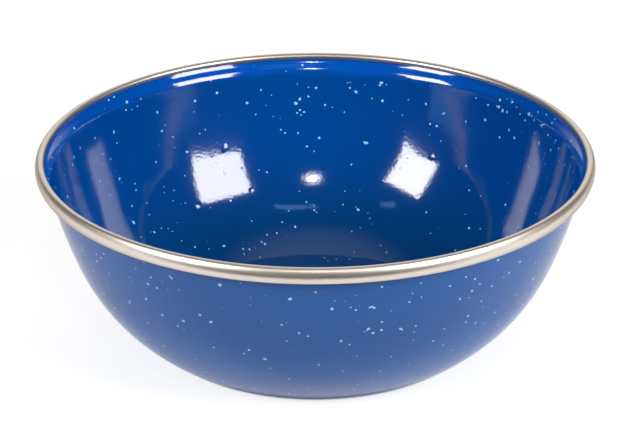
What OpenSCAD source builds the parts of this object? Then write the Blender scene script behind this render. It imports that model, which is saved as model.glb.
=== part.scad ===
// Enamelled steel bowl: a pressed sheet-steel bowl with a glass coat on each side,
// and a folded stainless band round the lip. The flat base rests on z = 0.
// All lengths are in millimetres.

/* [Bowl] */
// Overall diameter across the rim band
rim_d = 152; // [130:1:180]
// Overall height, from the table to the top of the rim band
bowl_h = 53; // [46:0.5:66]
// Diameter at which the wall would meet the flat base without rounding
base_d = 88.4; // [74:0.1:100]
// Outside radius that rounds the base into the wall
corner_r = 3; // [2:0.1:8]
// Height of the upper part of the wall, which is nearly straight
upper_wall_h = 20.8; // [16:0.1:24]
// How far the upper part of the wall leans outward over its height
upper_wall_lean = 6.5; // [5.5:0.05:7.5]
// Outside radius of the upper part of the wall, seen from the side
upper_wall_r = 150; // [120:1:400]

/* [Sheet and coats] */
// Thickness of the steel sheet
steel_t = 0.5; // [0.4:0.05:0.8]
// Thickness of each enamel coat
enamel_t = 0.2; // [0.1:0.05:0.4]

/* [Lip] */
// Outside radius of the bend that turns the wall outward
flare_r = 4; // [2:0.25:6]
// Outside radius of the bend that turns the lip up again
upright_r = 5.5; // [4:0.25:8]
// Slope of the lip between its two bends, in degrees from level
flare_slope = 48; // [42:1:58]
// Slope of the lip at its edge, in degrees from level
lip_slope = 80; // [74:1:86]
// How far the lip's edge stands above the inner edge of the band
lip_grip = 0.4; // [0.2:0.05:0.6]

/* [Rim band] */
// Thickness of the stainless strip
band_t = 0.35; // [0.2:0.05:0.5]
// Height of the band on the outside
band_h = 4.45; // [3.6:0.05:6]
// Height of the band on the inside
band_inner_h = 1.6; // [1.3:0.05:2.2]
// Room left inside the band, outside the lip
band_slack = 0.85; // [0.7:0.05:1.2]
// Clearance between the band and the coated lip
band_gap = 0.05; // [0.02:0.01:0.1]

/* [Hidden] */
$fn = 144;

// Share of half the band's width that its fold and its curl take as their radius
band_fold_share = 0.82;
// Share of the curl's inner radius by which it may reach back past its centre
curl_back_share = 0.5;
// Straight steps along each arc of a section
corner_steps = 5;
wall_steps = 18;
upper_steps = 4;
bend_steps = 7;
fold_steps = 10;
side_steps = 8;

// Depths of the skins below the outside of the bowl
steel_out = enamel_t;
steel_in = steel_out + steel_t;
inside = steel_in + enamel_t;

// Rim band: an upright oval, whose inner side is straight where it bears on the lip
rim_r = rim_d / 2;
band_w = inside + 2 * band_t + band_slack;
band_in_r = rim_r - band_w;
band_edge = bowl_h - band_inner_h;
fold_r = band_fold_share * band_w / 2;
fold_c = [band_in_r + fold_r, bowl_h - fold_r];
curl_c = [fold_c.x, bowl_h - band_h + fold_r];
half_rise = (fold_c.y - curl_c.y) / 2;
side_r = (pow(half_rise, 2) / (band_w - 2 * fold_r) + band_w) / 2;
side_c = [rim_r - side_r, (fold_c.y + curl_c.y) / 2];
side_a = atan2(fold_c.y - side_c.y, fold_c.x - side_c.x);

// Lip: it leans up into the band, and steps in below by two bends
upright_y = band_edge + lip_grip + upright_r * cos(lip_slope);
grip_slope = acos((upright_y - band_edge) / (upright_r - inside));
grip_r = band_in_r + band_t + band_gap;
upright_c = [grip_r - (upright_r - inside) * sin(grip_slope), upright_y];
flare_c = upright_c + (upright_r + flare_r) * ray(flare_slope);

// Wall: a nearly straight upper part, then a closer arc that ends on the edge of the base
lean_slope = atan2(upper_wall_h, upper_wall_lean);
half_turn = asin(norm([upper_wall_lean, upper_wall_h]) / (2 * upper_wall_r));
shoulder_slope = lean_slope - half_turn;
top_slope = lean_slope + half_turn;
wall_top = flare_c - flare_r * ray(top_slope);
shoulder = wall_top - [upper_wall_lean, upper_wall_h];
upper_c = wall_top - upper_wall_r * ray(top_slope);
chord = shoulder - [base_d / 2, 0];
wall_r = norm(chord) / (2 * sin(shoulder_slope - atan2(chord.y, chord.x)));
wall_c = shoulder - wall_r * ray(shoulder_slope);
corner_c = [
    wall_c.x + sqrt(pow(wall_r - corner_r, 2) - pow(wall_c.y - corner_r, 2)),
    corner_r
];
corner_slope = asin((corner_c.x - wall_c.x) / (wall_r - corner_r));

// The curl under the band stops clear of the lip
curl_low = bowl_h - band_h + band_t;
lip_at_curl = upright_c.x + sqrt(max(0, pow(upright_r, 2) - pow(upright_y - curl_low, 2)));
curl_reach = (lip_at_curl + band_gap - curl_c.x) / (fold_r - band_t);
curl_a = acos(min(1, max(-curl_back_share, curl_reach)));

// Unit vector out of a surface that climbs at a slope
function ray(slope) = [sin(slope), -cos(slope)];

// Points along an arc, given the slopes that it climbs from and to
function bend(c, r, from, to, steps, first = 0) =
    [for (i = [first:steps]) c + r * ray(from + (to - from) * i / steps)];

// Points along an arc, given the angles that it runs from and to
function sweep(c, r, from, to, steps, first = 0) =
    bend(c, r, from + 90, to + 90, steps, first);

function reverse(points) = [for (i = [len(points) - 1:-1:0]) points[i]];

// Section line of the bowl from its axis to its lip, at a depth below the outside
function skin(depth) = concat(
    [[0, depth]],
    bend(corner_c, corner_r - depth, 0, corner_slope, corner_steps),
    bend(wall_c, wall_r - depth, corner_slope, shoulder_slope, wall_steps, 1),
    bend(upper_c, upper_wall_r - depth, shoulder_slope, top_slope, upper_steps, 1),
    bend(flare_c, -flare_r - depth, top_slope, flare_slope, bend_steps, 1),
    bend(upright_c, upright_r - depth, flare_slope, lip_slope, bend_steps, 1)
);

// Section line of the band from its inner edge over the fold to its curl
function band_skin(depth) = concat(
    [[band_in_r + depth, band_edge]],
    sweep(fold_c, fold_r - depth, 180, side_a, fold_steps),
    sweep(side_c, side_r - depth, side_a, -side_a, side_steps, 1),
    sweep(curl_c, fold_r - depth, -side_a, -curl_a, fold_steps, 1)
);

// Layer of the bowl between two depths
module layer(outer, inner) {
    rotate_extrude()
        polygon(concat(skin(outer), reverse(skin(inner))));
}

// Pressed sheet-steel bowl with its stepped lip
module steel_bowl() {
    color("dimgray")
        layer(steel_out, steel_in);
}

// Glass coat fused to the inside of the steel
module inner_enamel() {
    color("royalblue")
        layer(steel_in, inside);
}

// Glass coat fused to the outside of the steel; its flat underside is the foot
module outer_enamel() {
    color("steelblue")
        layer(0, steel_out);
}

// Stainless strip folded over the lip and curled in below it
module rim_band() {
    color("silver")
        rotate_extrude()
            polygon(concat(band_skin(0), reverse(band_skin(band_t))));
}

steel_bowl();
inner_enamel();
outer_enamel();
rim_band();
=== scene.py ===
"""Looks of a speckled blue enamel bowl with a stainless rim band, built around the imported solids.

The glass coats and the band are turned again from the section that the solids have, finely enough to
mirror the studio without facets. The white specks are fused drops of enamel, so they are low domes.
Section sizes are in millimetres, as on a drawing; objects are in metres, as in the frame.
"""

import logging
import math
import random
from abc import ABC, abstractmethod
from dataclasses import dataclass, field
from enum import Enum
from functools import cached_property
from typing import Any

import bpy
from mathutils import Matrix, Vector
from mathutils.bvhtree import BVHTree


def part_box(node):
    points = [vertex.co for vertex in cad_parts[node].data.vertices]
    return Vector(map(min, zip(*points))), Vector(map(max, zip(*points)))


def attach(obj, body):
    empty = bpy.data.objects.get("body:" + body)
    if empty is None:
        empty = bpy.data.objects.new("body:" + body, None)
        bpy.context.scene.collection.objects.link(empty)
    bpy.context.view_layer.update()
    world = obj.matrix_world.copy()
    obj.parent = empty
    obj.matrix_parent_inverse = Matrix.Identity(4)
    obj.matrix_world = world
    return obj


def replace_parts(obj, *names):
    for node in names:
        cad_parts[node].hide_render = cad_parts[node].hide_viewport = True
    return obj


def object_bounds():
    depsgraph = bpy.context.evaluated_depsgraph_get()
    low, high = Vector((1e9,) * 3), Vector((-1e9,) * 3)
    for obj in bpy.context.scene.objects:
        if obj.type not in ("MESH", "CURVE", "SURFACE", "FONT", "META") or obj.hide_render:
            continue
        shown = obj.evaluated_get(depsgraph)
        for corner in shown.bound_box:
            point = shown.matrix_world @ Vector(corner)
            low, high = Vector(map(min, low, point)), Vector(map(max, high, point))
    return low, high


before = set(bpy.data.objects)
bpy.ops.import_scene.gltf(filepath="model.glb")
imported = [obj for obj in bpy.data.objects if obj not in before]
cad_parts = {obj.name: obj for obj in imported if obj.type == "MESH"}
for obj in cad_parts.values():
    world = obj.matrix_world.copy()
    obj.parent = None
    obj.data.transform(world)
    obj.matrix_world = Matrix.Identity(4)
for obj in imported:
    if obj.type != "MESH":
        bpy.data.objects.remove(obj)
cad_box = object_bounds()

LOG = logging.getLogger("enamel_bowl")
MM = 0.001
MM2_IN_CM2 = 100.0
RIGHT_ANGLE = 90.0
UP = Vector((0, 0, 1))
BODY = "root"

# Sockets of a Mix node that are for colours; they share their names with those for numbers
MIX_A, MIX_B, MIXED = 6, 7, 2


class LampShape(Enum):
    """Outline of a flat light, with the share of its box that it fills."""

    RECTANGLE = 1.0
    ELLIPSE = math.pi / 4


class Face(Enum):
    """Side of the bowl's sheet that a coat lies on."""

    INSIDE = "inner"
    OUTSIDE = "outer"


def linear(code: str) -> tuple[float, float, float, float]:
    """Turn an sRGB hex colour into the linear values that shaders take.

    Args:
        code: colour as #RRGGBB.

    Returns:
        Linear red, green and blue, and full alpha.
    """
    shares = [int(code[i : i + 2], 16) / 255 for i in (1, 3, 5)]
    red, green, blue = (s / 12.92 if s <= 0.04045 else ((s + 0.055) / 1.055) ** 2.4 for s in shares)
    return red, green, blue, 1.0


def add_node(
    tree: bpy.types.NodeTree, kind: str, inputs: dict[Any, Any], **settings: Any
) -> bpy.types.Node:
    """Add a node with its settings, and fill or link its inputs.

    Args:
        tree: tree that takes the node.
        kind: Blender's name of the node's type.
        inputs: value, or another node's output socket, for each input by name or number.
        settings: the node's own options.

    Returns:
        The new node.
    """
    node = tree.nodes.new(kind)
    for option, value in settings.items():
        setattr(node, option, value)
    for socket, value in inputs.items():
        if isinstance(value, bpy.types.NodeSocket):
            tree.links.new(value, node.inputs[socket])
        else:
            node.inputs[socket].default_value = value
    return node


def add_object(name: str, vertices: list, faces: list, sharp_deg: float = 35.0) -> bpy.types.Object:
    """Make a smooth-shaded mesh object whose creases stay sharp.

    Args:
        name: name of the piece.
        vertices: points in metres.
        faces: corner numbers of each face.
        sharp_deg: angle between faces above which an edge is a crease.

    Returns:
        The object, linked to the scene.
    """
    mesh = bpy.data.meshes.new(name)
    mesh.from_pydata(vertices, [], faces)
    mesh.validate()
    mesh.shade_smooth()
    mesh.set_sharp_from_angle(angle=math.radians(sharp_deg))
    piece = bpy.data.objects.new(name, mesh)
    bpy.context.scene.collection.objects.link(piece)
    return piece


def ray(slope_deg: float) -> Vector:
    """Unit vector out of a section line that climbs at a slope, as (radius, height)."""
    slope = math.radians(slope_deg)
    return Vector((math.sin(slope), -math.cos(slope)))


def bend(centre: Vector, radius: float, start: float, end: float, steps: int) -> list[Vector]:
    """Points along an arc, given the slopes that it climbs from and to.

    Args:
        centre: centre of the arc, as (radius, height) in mm.
        radius: radius of the arc in mm, negative where the arc is hollow.
        start: slope at its first point, in degrees.
        end: slope at its last point, in degrees.
        steps: straight steps along it.

    Returns:
        The points, both ends included.
    """
    return [centre + radius * ray(start + (end - start) * i / steps) for i in range(steps + 1)]


def sweep(centre: Vector, radius: float, start: float, end: float, steps: int) -> list[Vector]:
    """Points along an arc, as bend gives them, by the angles in degrees that it runs from and to."""
    return bend(centre, radius, start + RIGHT_ANGLE, end + RIGHT_ANGLE, steps)


def lathe(name: str, outline: list[Vector], segments: int) -> bpy.types.Object:
    """Turn a closed outline round the z axis.

    Args:
        name: name of the piece.
        outline: points as (radius, height) in mm, counterclockwise; ends on the axis stay single.
        segments: steps round the axis.

    Returns:
        The turned piece.
    """
    turns = [2 * math.pi * k / segments for k in range(segments)]
    vertices: list[tuple[float, float, float]] = []
    rings: list[list[int]] = []
    for point in outline:
        first = len(vertices)
        radius, height = point.x * MM, point.y * MM
        around = turns if radius > 0 else turns[:1]
        vertices += [(radius * math.cos(a), radius * math.sin(a), height) for a in around]
        rings.append(list(range(first, len(vertices))))
    faces = []
    for low, high in zip(rings, rings[1:] + rings[:1]):
        if len(low) == len(high) == 1:
            continue
        for k in range(segments):
            corners = ((low, k), (low, k + 1), (high, k + 1), (high, k))
            faces.append(list(dict.fromkeys(ring[i % len(ring)] for ring, i in corners)))
    return add_object(name, vertices, faces)


@dataclass(frozen=True)
class Finish(ABC):
    """A real material by its name, for which each kind of finish builds a shader."""

    name: str

    @abstractmethod
    def surface(self, tree: bpy.types.NodeTree) -> bpy.types.NodeSocket:
        """Build the shader in the material's tree, and give the socket that it comes out of."""

    def material(self) -> bpy.types.Material:
        """Make the material.

        Returns:
            The finished material.
        """
        material = bpy.data.materials.new(self.name)
        material.use_nodes = True
        material.node_tree.nodes.clear()
        shader = self.surface(material.node_tree)
        add_node(material.node_tree, "ShaderNodeOutputMaterial", {"Surface": shader})
        return material


@dataclass(frozen=True)
class VitreousEnamel(Finish):
    """Cobalt-blue glass fused onto steel by firing.

    The melt levels itself, so the eye gets clear mirror images whose edges waver with a faint
    orange peel, with faint clouds all over. Its blue is painted by height: painted shade darkens the
    foot inside, painted light from the paper lightens the foot outside, and painted light from above
    lightens the bend of the lip inside.
    """

    # Painted shading at the foot: darker inside for the shade in the bowl's floor, lighter outside for
    # light bounced up from the paper
    foot_hex: str
    wall_hex: str
    # Painted light: lighter blue over the lip's bend, which faces the light from above
    lip_hex: str
    ior: float
    roughness: float = 0.075
    foot_mm: tuple[float, float] = (5.5, 32.5)
    lip_mm: tuple[float, float] = (49.0, 52.0)
    cloud_mm: float = 14.0
    cloud_octaves: float = 3.0
    cloud_rise_mm: float = 5.0
    peel_mm: float = 0.8
    peel_height_mm: float = 0.008
    sag_mm: float = 9.0
    sag_height_mm: float = 0.012

    def surface(self, tree: bpy.types.NodeTree) -> bpy.types.NodeSocket:
        """Build the shader.

        Args:
            tree: the material's nodes.

        Returns:
            The shader's socket.
        """
        place = add_node(tree, "ShaderNodeTexCoord", {}).outputs["Object"]
        drift = {"Vector": place, "Scale": 1 / (self.cloud_mm * MM), "Detail": self.cloud_octaves}
        cloud = add_node(tree, "ShaderNodeTexNoise", drift).outputs[0]
        height = add_node(tree, "ShaderNodeSeparateXYZ", {0: place}).outputs["Z"]
        cloudy = {0: cloud, 1: self.cloud_rise_mm * MM, 2: height}
        level = add_node(tree, "ShaderNodeMath", cloudy, operation="MULTIPLY_ADD").outputs[0]
        # Painted light and shade blended in by height: the foot's and the lip's blues stand in for how
        # light falls there
        colour: Any = linear(self.foot_hex)
        for (start, end), code in ((self.foot_mm, self.wall_hex), (self.lip_mm, self.lip_hex)):
            reach = {"Value": level, "From Min": start * MM, "From Max": end * MM}
            share = add_node(tree, "ShaderNodeMapRange", reach, interpolation_type="SMOOTHSTEP").outputs[0]
            tones = {"Factor": share, MIX_A: colour, MIX_B: linear(code)}
            colour = add_node(tree, "ShaderNodeMix", tones, data_type="RGBA").outputs[MIXED]
        skin: dict[str, Any] = {}
        for across_mm, high_mm in ((self.sag_mm, self.sag_height_mm), (self.peel_mm, self.peel_height_mm)):
            waves = {"Vector": place, "Scale": 1 / (across_mm * MM), "Detail": 0}
            wave = add_node(tree, "ShaderNodeTexNoise", waves).outputs[0]
            relief = {"Height": wave, "Distance": high_mm * MM, "Strength": 1} | skin
            skin = {"Normal": add_node(tree, "ShaderNodeBump", relief).outputs[0]}
        gloss = {"Base Color": colour, "Roughness": self.roughness, "IOR": self.ior}
        return add_node(tree, "ShaderNodeBsdfPrincipled", gloss | skin).outputs[0]


@dataclass(frozen=True)
class SpeckEnamel(Finish):
    """Opaque white frit spattered on the wet coat and fired into it.

    Each drop is pale where it is thick; at its thin edge the blue below shows through. A few drops are
    bumps of the blue glass alone, which show only by the way they bend the mirror images.
    """

    thick_hex: str
    thin_hex: str
    ior: float = 1.6
    roughness: float = 0.14
    thickness_layer: str = "drop_thickness"

    def surface(self, tree: bpy.types.NodeTree) -> bpy.types.NodeSocket:
        """Build the shader, which reads how thick the drop is at each point.

        Args:
            tree: the material's nodes.

        Returns:
            The shader's socket.
        """
        layer = add_node(tree, "ShaderNodeAttribute", {}, attribute_name=self.thickness_layer)
        thick = layer.outputs["Fac"]
        tones = {"Factor": thick, MIX_A: linear(self.thin_hex), MIX_B: linear(self.thick_hex)}
        colour = add_node(tree, "ShaderNodeMix", tones, data_type="RGBA").outputs[MIXED]
        gloss = {"Base Color": colour, "Roughness": self.roughness, "IOR": self.ior}
        return add_node(tree, "ShaderNodeBsdfPrincipled", gloss).outputs[0]


# Each face has a frit of its own, matched to its blue and to how strongly it mirrors
# Painted shading of the enamel: the inner foot is darker for shade, the inner lip lighter for light from
# above, the outer foot lighter for light from the paper
INSIDE_ENAMEL = VitreousEnamel(
    "blue_enamel_inside", foot_hex="#004482", wall_hex="#00499C", lip_hex="#0056BC", ior=1.7
)
OUTSIDE_ENAMEL = VitreousEnamel(
    "blue_enamel_outside", foot_hex="#0070CE", wall_hex="#005BAF", lip_hex="#005BAF", ior=1.43
)
INSIDE_DROPS = SpeckEnamel("speck_enamel_inside", thick_hex="#96DAFF", thin_hex=INSIDE_ENAMEL.wall_hex)
OUTSIDE_DROPS = SpeckEnamel("speck_enamel_outside", thick_hex="#B0DEFF", thin_hex=OUTSIDE_ENAMEL.wall_hex)


@dataclass(frozen=True)
class RolledStainless(Finish):
    """Stainless strip, cold rolled and then folded round the lip.

    Rolling leaves fine lines along the strip, so lights smear across it into soft bright bands.
    The lines are drawn coarser than they are, so that they show at all.
    """

    name: str = "rolled_stainless_steel"
    bright_hex: str = "#E6DED5"
    dull_hex: str = "#DCD3CA"
    edge_hex: str = "#C4B8AB"
    roughness: float = 0.38
    line_mm: float = 0.22
    line_octaves: float = 2.0
    run_mm: float = 18.0
    line_height_mm: float = 0.0006
    anisotropy: float = 0.3

    def surface(self, tree: bpy.types.NodeTree) -> bpy.types.NodeSocket:
        """Build the shader, with lines that run round the z axis.

        Args:
            tree: the material's nodes.

        Returns:
            The shader's socket.
        """
        place = add_node(tree, "ShaderNodeTexCoord", {}).outputs["Object"]
        parts = add_node(tree, "ShaderNodeSeparateXYZ", {0: place}).outputs
        flat = add_node(tree, "ShaderNodeCombineXYZ", {"X": parts["X"], "Y": parts["Y"]}).outputs[0]
        radius = add_node(tree, "ShaderNodeVectorMath", {0: flat}, operation="LENGTH").outputs["Value"]
        round_share = self.line_mm / self.run_mm
        drawn = {0: place, 1: (round_share, round_share, 1.0)}
        across = add_node(tree, "ShaderNodeVectorMath", drawn, operation="MULTIPLY").outputs[0]
        strokes = {"Vector": across, "W": radius}
        strokes |= {"Scale": 1 / (self.line_mm * MM), "Detail": self.line_octaves}
        lines = add_node(tree, "ShaderNodeTexNoise", strokes, noise_dimensions="4D").outputs[0]
        tones = {"Factor": lines, MIX_A: linear(self.bright_hex), MIX_B: linear(self.dull_hex)}
        colour = add_node(tree, "ShaderNodeMix", tones, data_type="RGBA").outputs[MIXED]
        relief = {"Height": lines, "Distance": self.line_height_mm * MM, "Strength": 1}
        grooves = add_node(tree, "ShaderNodeBump", relief).outputs[0]
        around = add_node(tree, "ShaderNodeTangent", {}, direction_type="RADIAL", axis="Z").outputs[0]
        metal = {
            "Base Color": colour,
            "Metallic": 1.0,
            "Roughness": self.roughness,
            "Specular Tint": linear(self.edge_hex),
            "Anisotropic": self.anisotropy,
            "Normal": grooves,
            "Tangent": around,
        }
        return add_node(tree, "ShaderNodeBsdfPrincipled", metal).outputs[0]


@dataclass(frozen=True)
class PressedSheetSteel(Finish):
    """Low-carbon sheet steel, pressed and pickled before it is coated: a dull, patchy dark grey."""

    name: str = "pressed_sheet_steel"
    clean_hex: str = "#6E6F72"
    scale_hex: str = "#4A4A4D"
    roughness: float = 0.5
    patch_mm: float = 6.0
    patch_octaves: float = 4.0

    def surface(self, tree: bpy.types.NodeTree) -> bpy.types.NodeSocket:
        """Build the shader.

        Args:
            tree: the material's nodes.

        Returns:
            The shader's socket.
        """
        place = add_node(tree, "ShaderNodeTexCoord", {}).outputs["Object"]
        spread = {"Vector": place, "Scale": 1 / (self.patch_mm * MM), "Detail": self.patch_octaves}
        patches = add_node(tree, "ShaderNodeTexNoise", spread).outputs[0]
        tones = {"Factor": patches, MIX_A: linear(self.clean_hex), MIX_B: linear(self.scale_hex)}
        colour = add_node(tree, "ShaderNodeMix", tones, data_type="RGBA").outputs[MIXED]
        metal = {"Base Color": colour, "Metallic": 1.0, "Roughness": self.roughness}
        return add_node(tree, "ShaderNodeBsdfPrincipled", metal).outputs[0]


@dataclass(frozen=True)
class StudioPaper(Finish):
    """Matt background paper that reads as white from every side.

    Eyes and mirrors see it with a glow of its own, and it keeps a shadow: a faint one for the eye and
    a fuller one in mirrors. Far from the bowl the glow makes up for the light that is missing there.
    It stops in the narrow gap under the bowl's edge, where the paper goes dark: a painted contact shadow.
    """

    name: str = "matt_studio_paper"
    eye_hex: str = "#AEAEAE"
    mirror_hex: str = "#EFEFEF"
    near_glow: float = 0.75
    far_glow: float = 0.96
    mirror_glow: float = 0.27
    near_m: float = 0.3
    far_m: float = 1.5
    eye_gap_m: float = 0.0004
    mirror_gap_m: float = 0.0012

    def surface(self, tree: bpy.types.NodeTree) -> bpy.types.NodeSocket:
        """Build the shader.

        Args:
            tree: the material's nodes.

        Returns:
            The shader's socket.
        """
        place = add_node(tree, "ShaderNodeTexCoord", {}).outputs["Object"]
        away = add_node(tree, "ShaderNodeVectorMath", {0: place}, operation="LENGTH").outputs["Value"]
        reach = {"Value": away, "From Min": self.near_m, "From Max": self.far_m}
        reach |= {"To Min": self.near_glow, "To Max": self.far_glow}
        eye_glow = add_node(tree, "ShaderNodeMapRange", reach, interpolation_type="SMOOTHSTEP").outputs[0]
        path = add_node(tree, "ShaderNodeLightPath", {}).outputs
        views = (
            ("Is Camera Ray", eye_glow, self.eye_gap_m),
            ("Is Glossy Ray", self.mirror_glow, self.mirror_gap_m),
            ("Is Transmission Ray", self.mirror_glow, self.mirror_gap_m),
        )
        strength: Any = 0.0
        for view, glow, gap in views:
            # Painted contact shadow: occlusion near the bowl cuts the glow in the gap under its edge
            open_share = add_node(tree, "ShaderNodeAmbientOcclusion", {"Distance": gap}).outputs["AO"]
            lit = add_node(tree, "ShaderNodeMath", {0: path[view], 1: open_share}, operation="MULTIPLY")
            more = {0: lit.outputs[0], 1: glow, 2: strength}
            strength = add_node(tree, "ShaderNodeMath", more, operation="MULTIPLY_ADD").outputs[0]
        in_mirror = path["Is Glossy Ray"]
        tones = {"Factor": in_mirror, MIX_A: linear(self.eye_hex), MIX_B: linear(self.mirror_hex)}
        colour = add_node(tree, "ShaderNodeMix", tones, data_type="RGBA").outputs[MIXED]
        matt = add_node(tree, "ShaderNodeBsdfDiffuse", {"Color": colour}).outputs[0]
        shine = add_node(tree, "ShaderNodeEmission", {"Strength": strength}).outputs[0]
        return add_node(tree, "ShaderNodeAddShader", {0: matt, 1: shine}).outputs[0]


@dataclass(frozen=True)
class BlackCard(Finish):
    """Dull black board, of the kind that is laid out of the picture to draw a dark line on metal.

    It is an oval whose edge fades out, so that the glossy coats mirror no hard line from it.
    """

    name: str = "black_card"
    card_hex: str = "#3A3836"
    middle_m: tuple[float, float, float] = (0.0, -0.67, 0.001)
    half_m: tuple[float, float] = (0.8, 0.56)
    full_share: float = 0.88

    def surface(self, tree: bpy.types.NodeTree) -> bpy.types.NodeSocket:
        """Build the shader.

        Args:
            tree: the material's nodes.

        Returns:
            The shader's socket.
        """
        place = add_node(tree, "ShaderNodeTexCoord", {}).outputs["Object"]
        to_oval = {0: place, 1: (1 / self.half_m[0], 1 / self.half_m[1], 0)}
        oval = add_node(tree, "ShaderNodeVectorMath", to_oval, operation="MULTIPLY").outputs[0]
        away = add_node(tree, "ShaderNodeVectorMath", {0: oval}, operation="LENGTH").outputs["Value"]
        reach = {"Value": away, "From Min": 1.0, "From Max": self.full_share}
        cover = add_node(tree, "ShaderNodeMapRange", reach, interpolation_type="SMOOTHSTEP").outputs[0]
        clear = add_node(tree, "ShaderNodeBsdfTransparent", {}).outputs[0]
        matt = add_node(tree, "ShaderNodeBsdfDiffuse", {"Color": linear(self.card_hex)}).outputs[0]
        return add_node(tree, "ShaderNodeMixShader", {0: cover, 1: clear, 2: matt}).outputs[0]

    def build(self) -> None:
        """Lay the card in front of the bowl, where only mirrors see it, as they do the lights."""
        right, far = self.half_m
        corners = [(-right, -far, 0), (right, -far, 0), (right, far, 0), (-right, far, 0)]
        board = add_object(self.name, corners, [[0, 1, 2, 3]])
        board.location = self.middle_m
        board.data.materials.append(self.material())
        board.visible_camera = board.visible_diffuse = board.visible_shadow = False


@dataclass(frozen=True)
class BowlSection:
    """Half section of the bowl and its band in millimetres, from the same arcs as the solids."""

    rim_d: float
    height: float
    base_d: float = 88.4
    corner_r: float = 3.0
    upper_wall_h: float = 20.8
    upper_wall_lean: float = 6.5
    upper_wall_r: float = 150.0
    steel_t: float = 0.5
    enamel_t: float = 0.2
    flare_r: float = 4.0
    upright_r: float = 5.5
    flare_slope: float = 48.0
    lip_slope: float = 80.0
    lip_grip: float = 0.4
    band_t: float = 0.35
    band_h: float = 4.45
    band_inner_h: float = 1.6
    band_slack: float = 0.85
    band_gap: float = 0.05
    band_fold_share: float = 0.82
    curl_deg: float = 120.0
    floor_steps: int = 10
    corner_steps: int = 10
    wall_steps: int = 36
    upper_steps: int = 10
    bend_steps: int = 14
    fold_steps: int = 20
    side_steps: int = 16

    @property
    def sheet_t(self) -> float:
        """Thickness of the steel with both coats."""
        return self.steel_t + 2 * self.enamel_t

    @property
    def band_w(self) -> float:
        """Width of the band across its fold."""
        return self.sheet_t + 2 * self.band_t + self.band_slack

    @property
    def band_in_r(self) -> float:
        """Radius of the band's inner side."""
        return self.rim_d / 2 - self.band_w

    @property
    def band_edge(self) -> float:
        """Height of the band's inner edge."""
        return self.height - self.band_inner_h

    @cached_property
    def upright_c(self) -> Vector:
        """Centre of the bend that turns the lip up into the band."""
        up = self.band_edge + self.lip_grip + self.upright_r * math.cos(math.radians(self.lip_slope))
        inner_r = self.upright_r - self.sheet_t
        out = math.sqrt(inner_r**2 - (up - self.band_edge) ** 2)
        return Vector((self.band_in_r + self.band_t + self.band_gap - out, up))

    @cached_property
    def flare_c(self) -> Vector:
        """Centre of the bend that turns the wall outward."""
        return self.upright_c + (self.upright_r + self.flare_r) * ray(self.flare_slope)

    @cached_property
    def upper_slopes(self) -> tuple[float, float]:
        """Slopes of the upper wall at its foot and at its top, in degrees."""
        lean = Vector((self.upper_wall_lean, self.upper_wall_h))
        middle = math.degrees(math.atan2(lean.y, lean.x))
        half_turn = math.degrees(math.asin(lean.length / (2 * self.upper_wall_r)))
        return middle - half_turn, middle + half_turn

    @cached_property
    def wall_top(self) -> Vector:
        """Point where the upper wall turns into the flare."""
        return self.flare_c - self.flare_r * ray(self.upper_slopes[1])

    @cached_property
    def upper_c(self) -> Vector:
        """Centre of the nearly straight upper wall."""
        return self.wall_top - self.upper_wall_r * ray(self.upper_slopes[1])

    @cached_property
    def shoulder(self) -> Vector:
        """Point where the lower wall turns into the upper one."""
        return self.wall_top - Vector((self.upper_wall_lean, self.upper_wall_h))

    @cached_property
    def wall_r(self) -> float:
        """Outside radius of the lower wall."""
        chord = self.shoulder - Vector((self.base_d / 2, 0))
        lift = math.radians(self.upper_slopes[0]) - math.atan2(chord.y, chord.x)
        return chord.length / (2 * math.sin(lift))

    @cached_property
    def wall_c(self) -> Vector:
        """Centre of the lower wall."""
        return self.shoulder - self.wall_r * ray(self.upper_slopes[0])

    @cached_property
    def corner_c(self) -> Vector:
        """Centre of the corner between base and wall."""
        reach = (self.wall_r - self.corner_r) ** 2 - (self.wall_c.y - self.corner_r) ** 2
        return Vector((self.wall_c.x + math.sqrt(reach), self.corner_r))

    def skin(self, depth: float) -> list[Vector]:
        """Line of the bowl from its axis to its lip.

        Args:
            depth: depth below the outside of the bowl.

        Returns:
            Points as (radius, height).
        """
        corner_out = (self.corner_c.x - self.wall_c.x) / (self.wall_r - self.corner_r)
        corner_slope = math.degrees(math.asin(corner_out))
        floor_r = self.corner_c.x
        floor = [Vector((floor_r * i / self.floor_steps, depth)) for i in range(self.floor_steps)]
        corner = bend(self.corner_c, self.corner_r - depth, 0, corner_slope, self.corner_steps)
        foot_slope, top_slope = self.upper_slopes
        wall = bend(self.wall_c, self.wall_r - depth, corner_slope, foot_slope, self.wall_steps)
        upper = bend(self.upper_c, self.upper_wall_r - depth, foot_slope, top_slope, self.upper_steps)
        flare = bend(self.flare_c, -self.flare_r - depth, top_slope, self.flare_slope, self.bend_steps)
        lip_r = self.upright_r - depth
        lip = bend(self.upright_c, lip_r, self.flare_slope, self.lip_slope, self.bend_steps)
        return floor + corner + wall[1:] + upper[1:] + flare[1:] + lip[1:]

    def band(self, depth: float) -> list[Vector]:
        """Line of the band from its inner edge, over the fold and down to its curl.

        Args:
            depth: depth below the outside of the strip.

        Returns:
            Points as (radius, height).
        """
        fold_r = self.band_fold_share * self.band_w / 2
        fold_c = Vector((self.band_in_r + fold_r, self.height - fold_r))
        curl_c = Vector((fold_c.x, self.height - self.band_h + fold_r))
        half_rise = (fold_c.y - curl_c.y) / 2
        side_r = (half_rise**2 / (self.band_w - 2 * fold_r) + self.band_w) / 2
        side_c = Vector((self.rim_d / 2 - side_r, (fold_c.y + curl_c.y) / 2))
        side_a = math.degrees(math.atan2(fold_c.y - side_c.y, fold_c.x - side_c.x))
        edge = [Vector((self.band_in_r + depth, self.band_edge))]
        fold = sweep(fold_c, fold_r - depth, 180, side_a, self.fold_steps)
        side = sweep(side_c, side_r - depth, side_a, -side_a, self.side_steps)
        curl = sweep(curl_c, fold_r - depth, -side_a, -self.curl_deg, self.fold_steps)
        return edge + fold + side[1:] + curl[1:]


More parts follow.
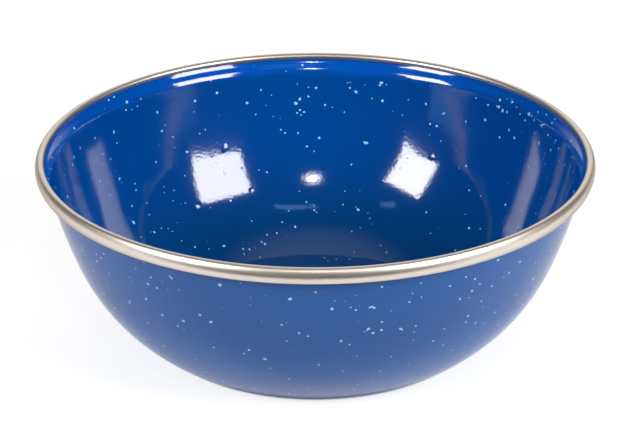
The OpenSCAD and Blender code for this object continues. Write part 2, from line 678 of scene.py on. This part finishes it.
@dataclass(frozen=True)
class PhotoCamera:
    """Camera at the photograph's viewpoint, for a picture of a known size in pixels."""

    distance_m: float = 0.72
    elevation_deg: float = 24.78
    centre_m: tuple[float, float, float] = (0.0, 0.0, 0.0265)
    aim_m: tuple[float, float, float] = (0.0017, 0.0020, 0.0309)
    focal_px: float = 2607.0
    picture_px: tuple[int, int] = (643, 442)
    sensor_mm: float = 36.0

    @property
    def place(self) -> Vector:
        """Where the camera stands."""
        up = math.radians(self.elevation_deg)
        return Vector(self.centre_m) + self.distance_m * Vector((0, -math.cos(up), math.sin(up)))

    @property
    def forward(self) -> Vector:
        """Direction that it looks in."""
        return (Vector(self.aim_m) - self.place).normalized()

    def toward(self, x: float, y: float) -> Vector:
        """Direction of a pixel of the picture.

        Args:
            x: pixels from the left edge.
            y: pixels from the top edge.

        Returns:
            Unit vector from the camera.
        """
        right = self.forward.cross(UP).normalized()
        above = right.cross(self.forward)
        wide, high = self.picture_px
        aside = right * ((x - wide / 2) / self.focal_px) - above * ((y - high / 2) / self.focal_px)
        return (self.forward + aside).normalized()

    def build(self) -> None:
        """Make the camera and give it to the scene."""
        lens = bpy.data.cameras.new("photo_camera")
        lens.sensor_width = self.sensor_mm
        lens.lens = self.focal_px * self.sensor_mm / self.picture_px[0]
        camera = bpy.data.objects.new("photo_camera", lens)
        camera.location = self.place
        camera.rotation_euler = self.forward.to_track_quat("-Z", "Y").to_euler()
        bpy.context.scene.collection.objects.link(camera)
        bpy.context.scene.camera = camera


@dataclass(frozen=True)
class SeenSpeck:
    """A speck, placed by where the photograph shows it; a clear one is a bump of the blue glass alone."""

    name: str
    x_px: float
    y_px: float
    across_mm: float
    stretch: float = 1.0
    turn_deg: float = 0.0
    clear: bool = False


INNER_SEEN = (
    SeenSpeck("lamp_cluster_top", 300, 110, 0.7),
    SeenSpeck("lamp_cluster_left", 297, 113, 0.6),
    SeenSpeck("lamp_cluster_right", 304, 112, 0.7),
    SeenSpeck("lamp_cluster_low", 301, 115, 0.5),
    SeenSpeck("back_middle", 316, 88, 0.8),
    SeenSpeck("back_pair_large", 356, 92, 1.0),
    SeenSpeck("back_pair_small", 350, 88, 0.6),
    SeenSpeck("back_right", 325, 105, 0.7),
    SeenSpeck("middle", 319, 138, 0.8),
    SeenSpeck("right_upper", 426, 104, 0.8),
    SeenSpeck("right_lower", 430, 124, 0.7),
    SeenSpeck("far_right", 485, 120, 0.9),
    SeenSpeck("right_cluster_large", 466, 166, 0.8),
    SeenSpeck("right_cluster_small", 459, 168, 0.5),
    SeenSpeck("low_right", 469, 228, 0.9),
    SeenSpeck("low_left", 265, 244, 0.8),
    SeenSpeck("on_left_image", 225, 148, 3.0, clear=True),
    SeenSpeck("at_left_image_corner", 199, 205, 2.5, clear=True),
    SeenSpeck("right_of_left_image", 251, 190, 2.0, clear=True),
    SeenSpeck("left_image_top_bump", 212, 156, 1.2, clear=True),
    SeenSpeck("left_image_side_bump", 242, 168, 0.9, clear=True),
    SeenSpeck("on_right_image", 432, 157, 2.6, clear=True),
    SeenSpeck("left_of_left_image", 187, 152, 0.9),
    SeenSpeck("rim_right_drop", 529, 114, 1.2),
    SeenSpeck("rim_right_upper", 500, 100, 0.9),
    SeenSpeck("rim_right_lower", 499, 107, 1.0),
    SeenSpeck("right_streak_ring", 527, 154, 1.8, clear=True),
    SeenSpeck("run_on_right_wall", 542, 125, 0.5, 7.0, 28),
    SeenSpeck("run_start", 534, 120, 0.6),
    SeenSpeck("run_middle", 542, 127, 0.5),
    SeenSpeck("past_run_upper", 552, 123, 0.7),
    SeenSpeck("past_run_top", 555, 119, 0.5, 1.6, 60),
    SeenSpeck("past_run_lower", 548, 135, 0.8),
    SeenSpeck("past_run_low", 556, 140, 0.6),
    SeenSpeck("above_right_streak", 539, 143, 0.7, 1.8, 90),
    SeenSpeck("rim_right_first", 476, 98, 0.6),
    SeenSpeck("rim_right_second", 488, 105, 0.7),
    SeenSpeck("rim_right_tall", 507, 112, 0.6, 1.7, 90),
    SeenSpeck("right_of_tall", 509, 130, 0.55, 2.0, 90),
    SeenSpeck("beside_drop_left", 520, 114, 0.6),
    SeenSpeck("beside_drop_right", 538, 112, 0.6),
    SeenSpeck("right_end_low", 565, 165, 0.6),
    SeenSpeck("left_large", 127, 102, 1.0),
    SeenSpeck("below_left_large", 126, 110, 0.7),
    SeenSpeck("left_rim_pair", 114, 97, 0.6, 1.8, 30),
    SeenSpeck("left_rim_upper", 141, 99, 0.6),
    SeenSpeck("left_tall", 114, 132, 0.7, 1.7, 90),
    SeenSpeck("below_left_tall", 117, 143, 0.6),
    SeenSpeck("left_end", 74, 157, 0.7, 1.5, 90),
    SeenSpeck("left_end_upper", 95, 138, 0.6),
    SeenSpeck("upper_left_large", 195, 101, 0.9),
    SeenSpeck("back_left_large", 217, 93, 0.9),
    SeenSpeck("back_middle_left", 247, 103, 0.9),
    SeenSpeck("back_upper_left", 261, 90, 0.6),
    SeenSpeck("back_left_low", 285, 133, 0.6),
    SeenSpeck("back_low", 298, 133, 0.6),
    SeenSpeck("left_pair", 162, 131, 0.6, 1.7, 10),
    SeenSpeck("left_of_pair", 173, 137, 0.6),
    SeenSpeck("left_middle", 156, 162, 0.6),
    SeenSpeck("left_low_upper", 136, 190, 0.6),
    SeenSpeck("left_low", 132, 206, 0.7),
    SeenSpeck("bottom_left", 195, 247, 0.6),
    SeenSpeck("bottom_left_pair", 224, 246, 0.8, 1.3, 20),
)

OUTER_SEEN = (
    SeenSpeck("left_double", 211, 322, 0.8, 1.7, 40),
    SeenSpeck("right_long", 401, 329, 0.7, 2.4, -40),
    SeenSpeck("under_rim_left", 220, 285, 1.1),
    SeenSpeck("low_left", 265, 359, 1.1),
    SeenSpeck("upper_middle", 290, 299, 1.1),
    SeenSpeck("upper_long", 371, 307, 0.7, 2.0, 12),
    SeenSpeck("middle", 332, 309, 1.0),
    SeenSpeck("right_of_middle", 373, 333, 0.9),
    SeenSpeck("below_middle", 341, 341, 0.8),
    SeenSpeck("lowest", 289, 379, 0.8),
    SeenSpeck("far_left", 146, 299, 0.9),
    SeenSpeck("beside_long_upper", 356, 310, 0.7),
    SeenSpeck("beside_long_lower", 382, 322, 0.7),
    SeenSpeck("left_of_low_pair", 249, 350, 0.8),
    SeenSpeck("left_of_middle", 299, 333, 0.7),
    SeenSpeck("under_rim_right", 382, 287, 0.7),
    SeenSpeck("right_high", 480, 284, 0.6),
    SeenSpeck("right_low", 468, 316, 0.9),
    SeenSpeck("left_end_upper", 104, 254, 0.7),
    SeenSpeck("left_end_middle", 101, 258, 0.7),
    SeenSpeck("left_end_lower", 97, 261, 0.8),
    SeenSpeck("left_end_low", 94, 271, 0.7),
    SeenSpeck("left_upper", 148, 284, 0.9),
    SeenSpeck("left_upper_right", 157, 288, 0.7),
    SeenSpeck("left_below_upper", 130, 301, 0.6),
    SeenSpeck("left_middle", 178, 326, 0.7),
    SeenSpeck("left_of_double", 200, 315, 0.8),
    SeenSpeck("left_edge", 148, 323, 0.6),
    SeenSpeck("under_band_right", 498, 260, 0.9),
    SeenSpeck("under_band_far_right", 520, 262, 0.8),
    SeenSpeck("right_upper", 509, 273, 0.7),
    SeenSpeck("right_knot_top", 475, 279, 0.8),
    SeenSpeck("right_knot_left", 466, 277, 0.6),
    SeenSpeck("right_knot_low", 472, 291, 0.8),
    SeenSpeck("right_of_knot", 450, 286, 0.7),
    SeenSpeck("right_below_knot", 460, 299, 0.8),
    SeenSpeck("right_edge_pair", 533, 279, 0.8, 1.5, 60),
    SeenSpeck("low_right", 433, 341, 0.7),
    SeenSpeck("low_right_small", 443, 345, 0.6),
)


@dataclass(frozen=True)
class SeenSpatter:
    """A burst of fine specks, placed by where the photograph shows it."""

    name: str
    x_px: float
    y_px: float
    wide_px: float
    high_px: float
    count: int


INNER_SPATTERS = (
    SeenSpatter("upper_right", 528, 118, 62, 40, 16),
    SeenSpatter("right_end", 562, 150, 26, 30, 7),
    SeenSpatter("back", 325, 96, 150, 40, 2),
    SeenSpatter("low_left", 152, 226, 50, 26, 9),
    SeenSpatter("bottom", 232, 243, 80, 12, 4),
)

OUTER_SPATTERS = (
    SeenSpatter("right", 486, 300, 60, 50, 8),
    SeenSpatter("left", 120, 282, 50, 44, 8),
    SeenSpatter("middle", 378, 315, 70, 46, 8),
)


@dataclass
class EnamelCoat:
    """Glass coat on one face of the sheet."""

    face: Face
    section: BowlSection
    finish: VitreousEnamel
    segments: int = 384
    piece: bpy.types.Object = field(init=False)

    @property
    def node(self) -> str:
        """Name of the solid that this coat stands for."""
        return f"{self.face.value}_enamel"

    @property
    def depths(self) -> tuple[float, float]:
        """Depths of the coat's two sides below the outside of the bowl, the lower one first."""
        sheet = self.section.sheet_t
        if self.face is Face.INSIDE:
            return sheet - self.section.enamel_t, sheet
        return 0.0, self.section.enamel_t

    @property
    def shown_depth(self) -> float:
        """Depth of the side that shows."""
        return self.depths[1] if self.face is Face.INSIDE else self.depths[0]

    def build(self) -> bpy.types.Object:
        """Turn the coat and put it in the solid's place.

        Returns:
            The coat.
        """
        low, high = self.depths
        outline = self.section.skin(low) + self.section.skin(high)[::-1]
        self.piece = lathe(f"{self.face.value}_coat", outline, self.segments)
        self.piece.data.materials.append(self.finish.material())
        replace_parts(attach(self.piece, BODY), self.node)
        return self.piece


@dataclass
class RimBand:
    """Stainless strip folded over the lip."""

    section: BowlSection
    finish: RolledStainless
    segments: int = 384
    node: str = "rim_band"
    slot: str = "stainless_steel"

    def build(self) -> bpy.types.Object:
        """Turn the band and put it in the solid's place.

        Returns:
            The band.
        """
        outline = self.section.band(0)[::-1] + self.section.band(self.section.band_t)
        piece = lathe("folded_band", outline, self.segments)
        piece.data.materials.append(self.finish.material())
        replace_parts(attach(piece, BODY), self.node)
        return piece


@dataclass
class SteelBowl:
    """Pressed sheet under the coats, whose solid stays as it is."""

    finish: PressedSheetSteel
    node: str = "steel_bowl"

    def build(self) -> bpy.types.Object:
        """Give the solid its finish.

        Returns:
            The solid.
        """
        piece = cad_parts[self.node]
        piece.data.materials.clear()
        piece.data.materials.append(self.finish.material())
        return piece


@dataclass(frozen=True)
class Speck:
    """One fused drop: its place in metres, the way that it faces, and its shape."""

    place: Vector
    normal: Vector
    across_mm: float
    stretch: float
    turn_deg: float
    clear: bool = False


@dataclass
class SpeckField:
    """All the specks on one coat, as one piece of low domes."""

    coat: EnamelCoat
    finish: SpeckEnamel
    seen: tuple[SeenSpeck, ...]
    spatters: tuple[SeenSpatter, ...]
    camera: PhotoCamera
    seed: int
    per_cm2: float = 2.0
    median_mm: float = 0.42
    size_spread: float = 0.4
    least_mm: float = 0.2
    most_mm: float = 1.1
    stretch_spread: float = 0.25
    height_share: float = 0.1
    clear_height_share: float = 0.065
    # Width from which a drop stands up to its full share of height
    drop_mm: float = 1.2
    sink_mm: float = 0.012
    outline_wobble: float = 0.12
    outline_lobes: tuple[int, ...] = (2, 3, 4)
    corners: int = 14
    crease_deg: float = 80.0
    level_cos: float = 0.999
    clear_below_band_mm: float = 0.8
    clear_of_seen_mm: float = 1.6
    # Rings of a drop: shares of its radius and of its height, and how thick the white is there
    fine_rings: tuple[tuple[float, float, float], ...] = (
        (0.5, 0.88, 1.0),
        (0.8, 0.5, 0.9),
        (1.0, 0.0, 0.15),
    )
    clear_rings: tuple[tuple[float, float, float], ...] = (
        (0.25, 0.94, 0.0),
        (0.5, 0.75, 0.0),
        (0.75, 0.44, 0.0),
        (1.0, 0.0, 0.0),
    )

    @property
    def top_mm(self) -> float:
        """Height on the bowl above which no speck lies, because the band covers the lip."""
        section = self.coat.section
        edge = section.band_edge if self.coat.face is Face.INSIDE else section.height - section.band_h
        return edge - self.clear_below_band_mm

    def from_photo(self, draw: random.Random) -> list[Speck]:
        """Place the large specks and the bursts of fine ones where the photograph shows them.

        Args:
            draw: seeded source of chance.

        Returns:
            The specks, each on the coat and below the band.
        """
        wanted = list(self.seen)
        for burst in self.spatters:
            for _ in range(burst.count):
                x_px = burst.x_px + draw.uniform(-0.5, 0.5) * burst.wide_px
                y_px = burst.y_px + draw.uniform(-0.5, 0.5) * burst.high_px
                wanted.append(SeenSpeck(burst.name, x_px, y_px, *self.shape(draw)))
        tree = BVHTree.FromObject(self.coat.piece, bpy.context.evaluated_depsgraph_get())
        found = []
        for seen in wanted:
            toward = self.camera.toward(seen.x_px, seen.y_px)
            place, normal, _, _ = tree.ray_cast(self.camera.place, toward)
            if place is not None and place.z < self.top_mm * MM:
                found.append(Speck(place, normal, seen.across_mm, seen.stretch, seen.turn_deg, seen.clear))
        return found

    def shape(self, draw: random.Random) -> tuple[float, float, float]:
        """Draw the shape of one fine speck.

        Args:
            draw: seeded source of chance.

        Returns:
            Its size across in mm, its stretch and the turn of its long way in degrees.
        """
        size = self.median_mm * math.exp(draw.gauss(0, self.size_spread))
        stretch = 1 + abs(draw.gauss(0, self.stretch_spread))
        return min(max(size, self.least_mm), self.most_mm), stretch, draw.uniform(0, 180)

    def scatter(self, draw: random.Random, taken: list[Speck]) -> list[Speck]:
        """Spatter the rest evenly over the coat, as a brush would.

        Args:
            draw: seeded source of chance.
            taken: specks that are already placed.

        Returns:
            The new specks.
        """
        line = [p for p in self.coat.section.skin(self.coat.shown_depth) if p.y <= self.top_mm]
        strips = list(zip(line, line[1:]))
        areas = [math.pi * (a.x + b.x) * (b - a).length for a, b in strips]
        inward = 1 if self.coat.face is Face.INSIDE else -1
        found: list[Speck] = []
        for _ in range(round(sum(areas) / MM2_IN_CM2 * self.per_cm2)):
            start, end = draw.choices(strips, areas)[0]
            spot = start.lerp(end, draw.random())
            along = (end - start).normalized()
            turn = draw.uniform(0, 2 * math.pi)
            out = Vector((math.cos(turn), math.sin(turn), 0))
            place = (out * spot.x + UP * spot.y) * MM
            normal = (out * -along.y + UP * along.x) * inward
            speck = Speck(place, normal, *self.shape(draw))
            if all((place - t.place).length > self.clear_of_seen_mm * MM for t in taken):
                found.append(speck)
        return found

    def dome(self, speck: Speck, draw: random.Random) -> tuple[list[Vector], list[float], list[list[int]]]:
        """Shape one drop as a closed lens that is sunk a little into the coat.

        A fine speck melts flat and a large drop stays domed.

        Args:
            speck: the drop.
            draw: seeded source of chance.

        Returns:
            Points in metres, how thick the drop is at each of them, and faces.
        """
        level = abs(speck.normal.z) > self.level_cos
        side = (speck.normal.orthogonal() if level else UP.cross(speck.normal)).normalized()
        turn = math.radians(speck.turn_deg)
        rise = speck.normal.cross(side)
        long_way = side * math.cos(turn) + rise * math.sin(turn)
        short_way = speck.normal.cross(long_way)
        radius = speck.across_mm / 2 * MM
        rings = self.clear_rings if speck.clear else self.fine_rings
        height_share = self.clear_height_share if speck.clear else self.height_share
        height = height_share * speck.across_mm * min(1, speck.across_mm / self.drop_mm) * MM
        waves = []
        for lobes in self.outline_lobes:
            waves.append((lobes, draw.uniform(0, 2 * math.pi), draw.uniform(0, self.outline_wobble)))
        points = [speck.place + speck.normal * height]
        thick = [0.0 if speck.clear else 1.0]
        for share, lift, depth in rings:
            for k in range(self.corners):
                angle = 2 * math.pi * k / self.corners
                wobble = sum(size * math.cos(lobes * angle + phase) for lobes, phase, size in waves)
                reach = radius * share * (1 + wobble)
                aside = long_way * (reach * speck.stretch * math.cos(angle))
                aside += short_way * (reach * math.sin(angle))
                above = height * lift if lift else -self.sink_mm * MM
                points.append(speck.place + aside + speck.normal * above)
                thick.append(depth)
        points.append(speck.place - speck.normal * (2 * self.sink_mm * MM))
        thick.append(0.0)
        faces = []
        last = len(points) - 1
        for k in range(self.corners):
            after = (k + 1) % self.corners
            faces.append([0, 1 + k, 1 + after])
            for ring in range(len(rings) - 1):
                low, high = 1 + ring * self.corners, 1 + (ring + 1) * self.corners
                faces.append([low + k, high + k, high + after, low + after])
            faces.append([last, last - self.corners + after, last - self.corners + k])
        return points, thick, faces

    def build(self) -> bpy.types.Object:
        """Make all the specks of this coat.

        Returns:
            The piece.
        """
        draw = random.Random(self.seed)
        specks = self.from_photo(draw)
        specks += self.scatter(draw, specks)
        vertices: list[Vector] = []
        thickness: list[float] = []
        faces: list[list[int]] = []
        for speck in specks:
            points, thick, corners = self.dome(speck, draw)
            faces += [[len(vertices) + c for c in face] for face in corners]
            vertices += points
            thickness += thick
        piece = add_object(f"{self.coat.face.value}_specks", vertices, faces, self.crease_deg)
        layer = piece.data.attributes.new(self.finish.thickness_layer, "FLOAT", "POINT")
        layer.data.foreach_set("value", thickness)
        piece.data.materials.append(self.finish.material())
        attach(piece, BODY)
        LOG.info("%d specks on the %s coat", len(specks), self.coat.face.value)
        return piece


@dataclass(frozen=True)
class Softbox:
    """Flat light that faces the bowl, placed by direction from it."""

    name: str
    azimuth_deg: float
    elevation_deg: float
    wide_m: float
    high_m: float
    radiance: float
    roll_deg: float = 0.0
    shape: LampShape = LampShape.RECTANGLE
    distance_m: float = 1.1
    colour_hex: str = "#FFFBF7"

    def build(self, centre: Vector) -> None:
        """Hang the light.

        Args:
            centre: middle of the bowl.
        """
        lamp = bpy.data.lights.new(self.name, "AREA")
        lamp.shape = self.shape.name
        lamp.size, lamp.size_y = self.wide_m, self.high_m
        lamp.color = linear(self.colour_hex)[:3]
        lamp.energy = self.radiance * math.pi * self.wide_m * self.high_m * self.shape.value
        turn, up = math.radians(self.azimuth_deg), math.radians(self.elevation_deg)
        away = Vector((math.sin(turn) * math.cos(up), -math.cos(turn) * math.cos(up), math.sin(up)))
        light = bpy.data.objects.new(self.name, lamp)
        light.location = centre + away * self.distance_m
        light.rotation_euler = (-away).to_track_quat("-Z", "Y").to_euler()
        light.rotation_euler.rotate_axis("Z", math.radians(self.roll_deg))
        light.visible_camera = False
        bpy.context.scene.collection.objects.link(light)


# Azimuth and elevation from the bowl, width and height, radiance and roll of each light
LIGHTS = (
    Softbox("softbox_right", 54.4, 29.8, 0.50, 0.49, 13.0, -12.4),
    Softbox("softbox_left", -54.2, 27.9, 0.372, 0.415, 14.4, -3.7),
    Softbox("lamp_over_camera", 1.7, 41.8, 0.088, 0.072, 45.0, shape=LampShape.ELLIPSE),
    Softbox("lamp_halo", 1.7, 41.8, 0.18, 0.16, 5.0, shape=LampShape.ELLIPSE),
    Softbox("ceiling_strip_right", 16.5, 59.4, 0.34, 0.045, 2.2, -11.0, colour_hex="#9AC8FF"),
    Softbox("ceiling_strip_left", -52.5, 49.2, 0.12, 0.055, 2.0, 30.0, colour_hex="#9AC8FF"),
    Softbox("card_left", -65.0, 7.0, 0.40, 0.12, 0.85, colour_hex="#7BC2FF"),
    Softbox("card_right", 67.0, 7.0, 0.40, 0.12, 0.48, colour_hex="#7BC2FF"),
)


@dataclass(frozen=True)
class RoomGlow:
    """Pale part of the room, by the cosine of the angle from its middle at which it fades and is full."""

    toward: tuple[float, float, float]
    fades_at: float
    full_at: float
    radiance: float


@dataclass
class Studio:
    """Paper floor with a low wall all round, lights, a black card and a room that is pale behind."""

    paper: StudioPaper
    card: BlackCard
    lights: tuple[Softbox, ...]
    floor_r_m: float = 6.0
    floor_drop_m: float = 0.0002
    wall_h_m: float = 0.36
    wall_steps: int = 96
    room_hex: str = "#FFFFFF"
    room_dim: float = 0.012
    backdrop: RoomGlow = RoomGlow((0.0, 0.97, 0.26), 0.6, 0.95, 1.2)
    ceiling: RoomGlow = RoomGlow((0.0, 0.15, 0.989), 0.84, 1.0, 0.46)

    def ground(self) -> None:
        """Lay the paper and turn it up into a low wall all round."""
        bottom = -self.floor_drop_m
        turns = [2 * math.pi * k / self.wall_steps for k in range(self.wall_steps)]
        disc = [(self.floor_r_m * math.sin(a), -self.floor_r_m * math.cos(a), bottom) for a in turns]
        floor = add_object("paper_floor", disc, [list(range(self.wall_steps))])
        top = [(x, y, self.wall_h_m) for x, y, _ in disc]
        after = [(k + 1) % self.wall_steps for k in range(self.wall_steps)]
        panels = [[k, self.wall_steps + k, self.wall_steps + a, a] for k, a in enumerate(after)]
        wall = add_object("paper_wall", disc + top, panels)
        paper = self.paper.material()
        for piece in (floor, wall):
            piece.data.materials.append(paper)

    def room(self) -> None:
        """Fill the room with light from the pale backdrop behind and overhead; the camera side is dim."""
        world = bpy.data.worlds.new("studio_room")
        world.use_nodes = True
        tree = world.node_tree
        tree.nodes.clear()
        way = add_node(tree, "ShaderNodeTexCoord", {}).outputs["Generated"]
        total: bpy.types.NodeSocket | float = self.room_dim
        for glow in (self.backdrop, self.ceiling):
            facing = {0: way, 1: glow.toward}
            near = add_node(tree, "ShaderNodeVectorMath", facing, operation="DOT_PRODUCT").outputs["Value"]
            reach = {"Value": near, "From Min": glow.fades_at, "From Max": glow.full_at}
            reach |= {"To Max": glow.radiance}
            share = add_node(tree, "ShaderNodeMapRange", reach, interpolation_type="SMOOTHSTEP").outputs[0]
            total = add_node(tree, "ShaderNodeMath", {0: total, 1: share}, operation="ADD").outputs[0]
        sky = add_node(tree, "ShaderNodeBackground", {"Color": linear(self.room_hex), "Strength": total})
        output = add_node(tree, "ShaderNodeOutputWorld", {"Surface": sky.outputs[0]})
        output.is_active_output = True
        bpy.context.scene.world = world

    def build(self, centre: Vector) -> None:
        """Set up the whole studio.

        Args:
            centre: middle of the bowl.
        """
        self.ground()
        self.card.build()
        self.room()
        for light in self.lights:
            light.build(centre)
        bpy.context.scene.view_settings.view_transform = "Standard"


def main() -> None:
    """Build the camera, the bowl's pieces and the studio."""
    logging.basicConfig(level=logging.INFO, format="%(name)s: %(message)s")
    low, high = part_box("rim_band")
    section = BowlSection(rim_d=(high.x - low.x) / MM, height=high.z / MM)
    camera = PhotoCamera()
    camera.build()
    inside = EnamelCoat(Face.INSIDE, section, INSIDE_ENAMEL)
    outside = EnamelCoat(Face.OUTSIDE, section, OUTSIDE_ENAMEL)
    makers = (
        SteelBowl(PressedSheetSteel()),
        inside,
        outside,
        RimBand(section, RolledStainless()),
        SpeckField(inside, INSIDE_DROPS, INNER_SEEN, INNER_SPATTERS, camera, seed=11),
        SpeckField(outside, OUTSIDE_DROPS, OUTER_SEEN, OUTER_SPATTERS, camera, seed=23),
    )
    pieces = [maker.build() for maker in makers]
    Studio(StudioPaper(), BlackCard(), LIGHTS).build((cad_box[0] + cad_box[1]) / 2)
    for piece in pieces:
        LOG.info("%s: %d faces", piece.name, len(piece.data.polygons))


if __name__ == "__main__":
    main()
